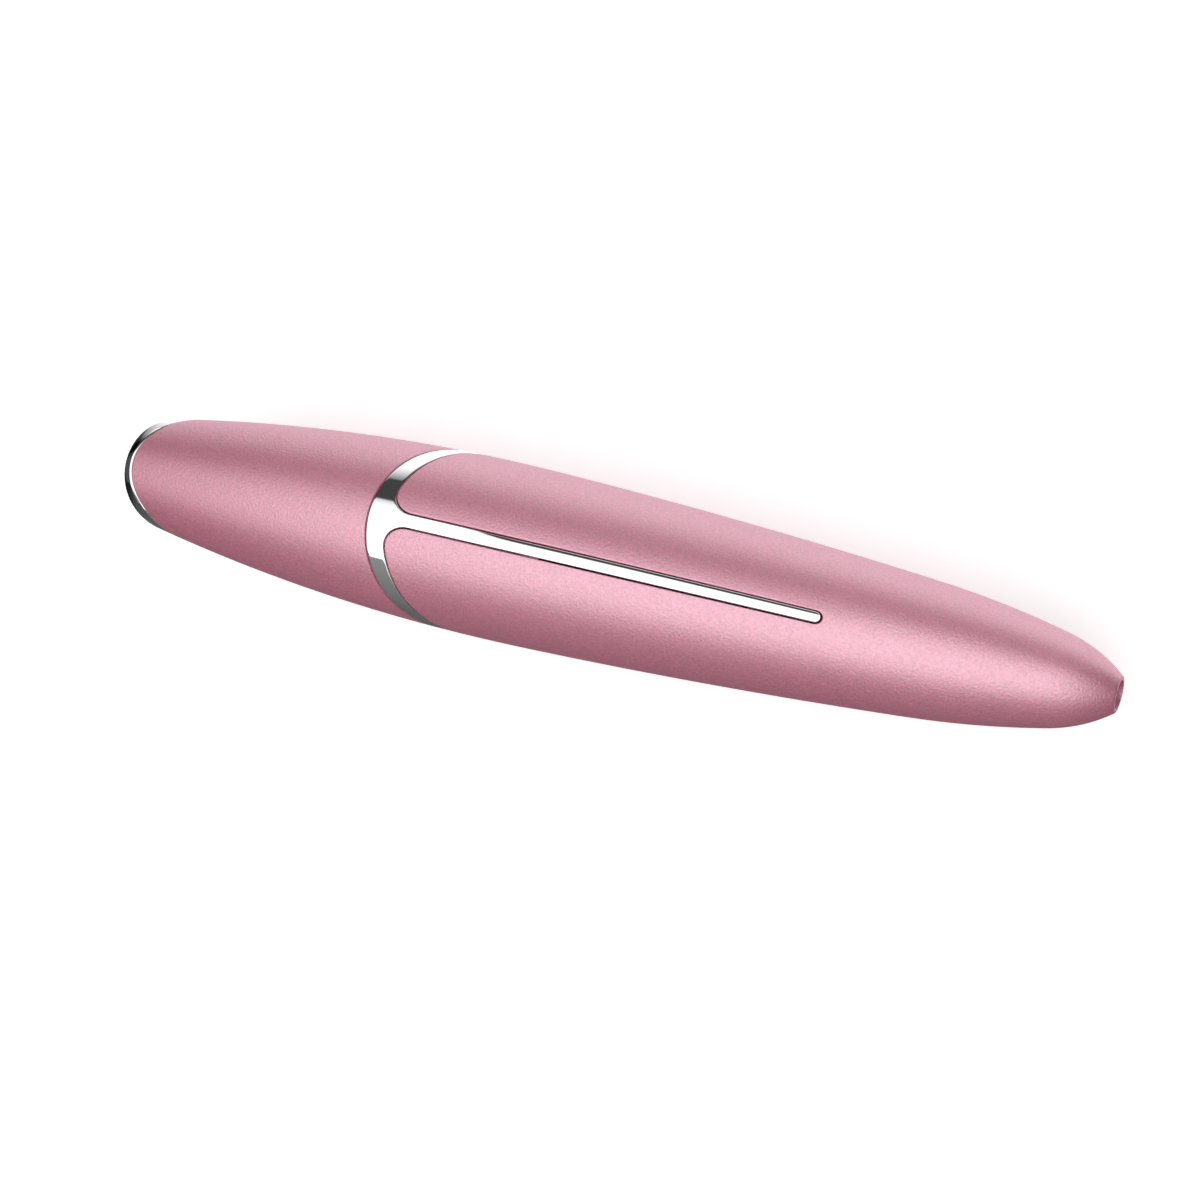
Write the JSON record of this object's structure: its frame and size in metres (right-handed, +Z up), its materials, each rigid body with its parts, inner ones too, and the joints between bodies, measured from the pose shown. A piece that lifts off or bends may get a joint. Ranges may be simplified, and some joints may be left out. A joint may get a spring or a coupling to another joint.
{
  "type": "heated eye massager wand",
  "caption": "Slim spindle-shaped massage wand with a slanted domed metal heating plate, a slanted trim band with a long tongue, a round button and a charging socket in the tail.",
  "frame": {"origin": "on the spindle's axis, at mid length", "axes": "+X along the axis from the massage head to the tail, +Z up through the trim tongue as the wand lies on a table, +Y across"},
  "size_m": [0.1324, 0.0228, 0.0229],
  "materials": {
    "flake_paint": "satin metallic flake paint over a thin aluminium shell",
    "chrome_trim": "bright chrome plate over a moulded part",
    "polished_plate": "polished die-cast metal",
    "seal_rubber": "matte silicone",
    "sleeve_rubber": "matte rubber",
    "film_amber": "amber polyimide film",
    "grey_foam": "closed-cell foam",
    "ivory_plastic": "moulded, fine matte",
    "black_plastic": "moulded, fine matte",
    "zinc_steel": "zinc-plated steel",
    "magnet_grey": "sintered, dull",
    "bush_brass": "sintered, satin",
    "winding_copper": "enamelled copper wire",
    "tungsten_grey": "sintered tungsten alloy",
    "cell_wrap": "blue shrink sleeve over a wound cell",
    "nickel_strip": "nickel strip",
    "board_green": "solder mask",
    "gold_contact": "gold flash",
    "red_wire": "wire insulation",
    "black_wire": "wire insulation"
  },
  "bodies": {
    "body": {"rear_shell": "flake_paint", "head_shell": "flake_paint", "trim_band": "chrome_trim", "neck_seal": "seal_rubber", "massage_plate": "polished_plate", "plate_gasket": "seal_rubber", "heating_film": "film_amber", "film_foam": "grey_foam", "thermistor": "black_plastic", "plate_carrier": "ivory_plastic", "carrier_screws": "zinc_steel", "motor_can": "zinc_steel", "motor_end_cap": "black_plastic", "motor_magnet": "magnet_grey", "motor_bush": "bush_brass", "motor_sleeve": "sleeve_rubber", "inner_frame": "ivory_plastic", "battery_cell": "cell_wrap", "battery_tabs": "nickel_strip", "battery_foam": "grey_foam", "circuit_board": "board_green", "board_screws": "zinc_steel", "tact_switch": "black_plastic", "control_chip": "black_plastic", "charge_chip": "black_plastic", "button_gasket": "seal_rubber", "charging_socket": "black_plastic", "tip_contact": "gold_contact", "sleeve_contact": "gold_contact", "heater_leads": "red_wire", "motor_leads": "black_wire", "battery_leads": "red_wire", "socket_leads": "black_wire"},
    "button": {"power_button": "flake_paint", "switch_plunger": "ivory_plastic"},
    "rotor": {"motor_shaft": "zinc_steel", "motor_armature": "winding_copper", "eccentric_weight": "tungsten_grey"}
  },
  "joints": [
    {"name": "button_press", "type": "slide", "parent": "body", "child": "button", "axis": [0, 0, 1], "range_m": [0, 0.0003], "stiffness_N_per_m": 4000, "springref_m": -0.0001},
    {"name": "motor_spin", "type": "hinge", "parent": "body", "child": "rotor", "pos_m": [-0.041, 0, 0], "axis": [1, 0, 0], "continuous": true}
  ]
}
